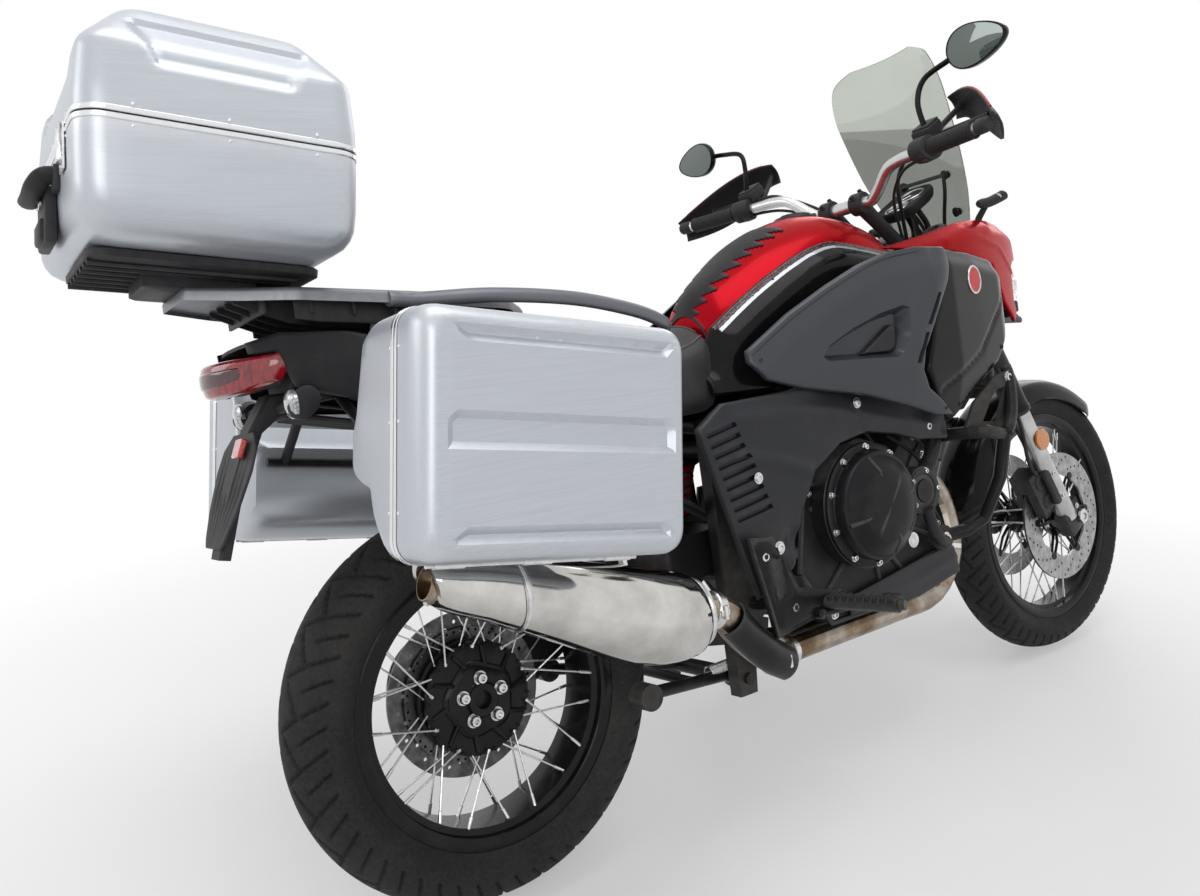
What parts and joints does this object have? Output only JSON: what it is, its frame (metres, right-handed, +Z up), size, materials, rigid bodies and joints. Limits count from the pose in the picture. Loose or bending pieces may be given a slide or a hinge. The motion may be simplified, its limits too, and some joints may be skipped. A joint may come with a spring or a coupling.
{
  "type": "adventure touring motorcycle with luggage cases",
  "caption": "Adventure touring motorcycle leaning on its side stand, with a tall screen, crash bars, hand guards, wire-spoked wheels, side cases and a top case in aluminium.",
  "frame": {"origin": "On the ground under the middle of the leaning motorcycle's outer box.", "axes": "+X points forward along the wheels, +Y to the rider's left, +Z up. The motorcycle leans 12 degrees to its left, onto the side stand."},
  "size_m": [2.4549, 1.0763, 1.4296],
  "materials": {
    "frame_black": "satin black powder coat",
    "engine_grey": "dark grey cast alloy with a satin coat",
    "header_steel": "heat-browned stainless tube",
    "silencer_chrome": "bright polished metal",
    "red_paint": "glossy deep red with clear coat",
    "gloss_black": "glossy black",
    "grey_plastic": "satin anthracite",
    "black_plastic": "moulded black with fine grain",
    "lamp_lens": "clear moulded lens over a chromed reflector",
    "screen_smoke": "lightly smoked clear screen",
    "seat_vinyl": "black grained cover with a grippy top",
    "case_aluminium": "brushed anodised sheet",
    "carrier_grey": "dark grey cast alloy",
    "red_lens": "ribbed red lens",
    "signal_lens": "clear lens with an amber bulb on a black stem",
    "bar_aluminium": "silver anodised",
    "disc_steel": "turned and drilled steel",
    "wheel_black": "black rim with bright spokes",
    "tyre_rubber": "black rubber with road and gravel tread"
  },
  "bodies": {
    "chassis": {"main_frame": "frame_black", "rear_subframe": "frame_black", "engine": "engine_grey", "exhaust_pipes": "header_steel", "silencer": "silencer_chrome", "fuel_tank": "red_paint", "tank_panels": "gloss_black", "side_fairings": "grey_plastic", "side_cowls": "gloss_black", "front_cowl": "red_paint", "headlight": "lamp_lens", "windscreen": "screen_smoke", "instrument_panel": "black_plastic", "seat": "seat_vinyl", "tail_cowl": "black_plastic", "rear_carrier": "carrier_grey", "top_case_base": "case_aluminium", "pannier_base_right": "case_aluminium", "pannier_base_left": "case_aluminium", "tail_light": "red_lens", "plate_holder": "black_plastic", "turn_signals": "signal_lens", "swingarm": "frame_black", "rear_shock": "bar_aluminium", "frame_covers": "grey_plastic", "footrests": "frame_black", "belly_pan": "black_plastic", "engine_guard": "frame_black"},
    "top_case_lid": {"top_case_lid": "case_aluminium"},
    "pannier_lid_right": {"pannier_lid_right": "case_aluminium"},
    "pannier_lid_left": {"pannier_lid_left": "case_aluminium"},
    "side_stand": {"side_stand": "frame_black"},
    "centre_stand": {"centre_stand": "frame_black"},
    "steering": {"front_fork": "frame_black", "handlebar": "bar_aluminium", "bar_controls": "black_plastic", "hand_guards": "black_plastic", "mirrors": "black_plastic", "front_mudguard": "black_plastic"},
    "front_wheel": {"front_tyre": "tyre_rubber", "front_wheel": "wheel_black", "front_discs": "disc_steel"},
    "rear_wheel": {"rear_tyre": "tyre_rubber", "rear_wheel": "wheel_black", "rear_disc": "disc_steel"}
  },
  "joints": [
    {"name": "steering", "type": "hinge", "parent": "chassis", "child": "steering", "pos_m": [0.84552, -0.11745, 0.2959], "axis": [-0.4695, 0.1836, 0.8637], "range_deg": [-32, 32]},
    {"name": "front_wheel_spin", "type": "hinge", "parent": "steering", "child": "front_wheel", "pos_m": [0.8985, -0.1116, 0.32345], "axis": [0, 0.9781, -0.2079], "continuous": true},
    {"name": "rear_wheel_spin", "type": "hinge", "parent": "chassis", "child": "rear_wheel", "pos_m": [-0.6965, -0.11326, 0.31562], "axis": [0, 0.9781, -0.2079], "continuous": true},
    {"name": "side_stand", "type": "hinge", "parent": "chassis", "child": "side_stand", "pos_m": [0.021, -0.00575, 0.22019], "axis": [0.2831, 0.7163, 0.6377], "range_deg": [0, 103]},
    {"name": "centre_stand", "type": "hinge", "parent": "chassis", "child": "centre_stand", "pos_m": [-0.224, -0.1301, 0.23639], "axis": [0, -0.9781, 0.2079], "range_deg": [0, 105]},
    {"name": "top_case_lid", "type": "hinge", "parent": "chassis", "child": "top_case_lid", "pos_m": [-0.84001, 0.05829, 1.12269], "axis": [0, 0.9781, -0.2079], "range_deg": [0, 80]},
    {"name": "pannier_lid_right", "type": "hinge", "parent": "chassis", "child": "pannier_lid_right", "pos_m": [-0.78409, -0.46073, 0.66253], "axis": [0.9863, -0.0343, -0.1614], "range_deg": [0, 75]},
    {"name": "pannier_lid_left", "type": "hinge", "parent": "chassis", "child": "pannier_lid_left", "pos_m": [-0.78409, 0.34527, 0.49121], "axis": [-0.9863, 0.0343, 0.1614], "range_deg": [0, 75]}
  ]
}
